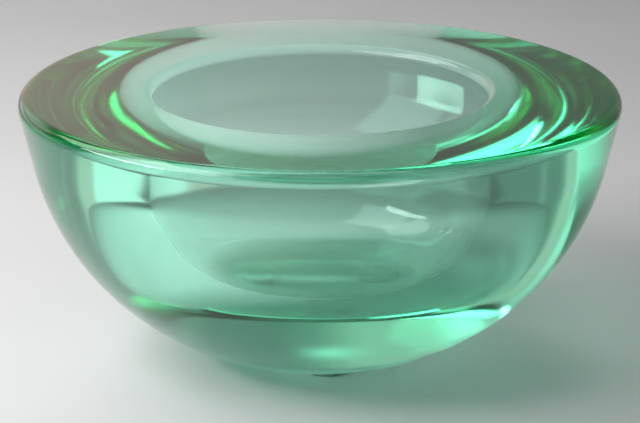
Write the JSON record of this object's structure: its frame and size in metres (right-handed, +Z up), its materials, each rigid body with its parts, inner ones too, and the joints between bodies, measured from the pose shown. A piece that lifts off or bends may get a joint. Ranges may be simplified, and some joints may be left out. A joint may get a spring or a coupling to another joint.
{
  "type": "floating candle bowl",
  "caption": "Round thick-walled green glass bowl with a broad flat rim and a round-footed well for water and a floating candle, standing on clear bumper pads.",
  "frame": {"origin": "centre of the bowl's footprint on the table, at the undersides of its pads", "axes": "+Z up along the bowl's axis, -Y towards the viewer of the picture"},
  "size_m": [0.1, 0.1, 0.045],
  "materials": {
    "green_glass": "polished, clear, tinted sea green through its thickness",
    "clear_pad": "soft clear plastic, satin"
  },
  "bodies": {
    "root": {"glass_bowl": "green_glass", "bumper_pad_1": "clear_pad", "bumper_pad_2": "clear_pad", "bumper_pad_3": "clear_pad"}
  },
  "joints": []
}
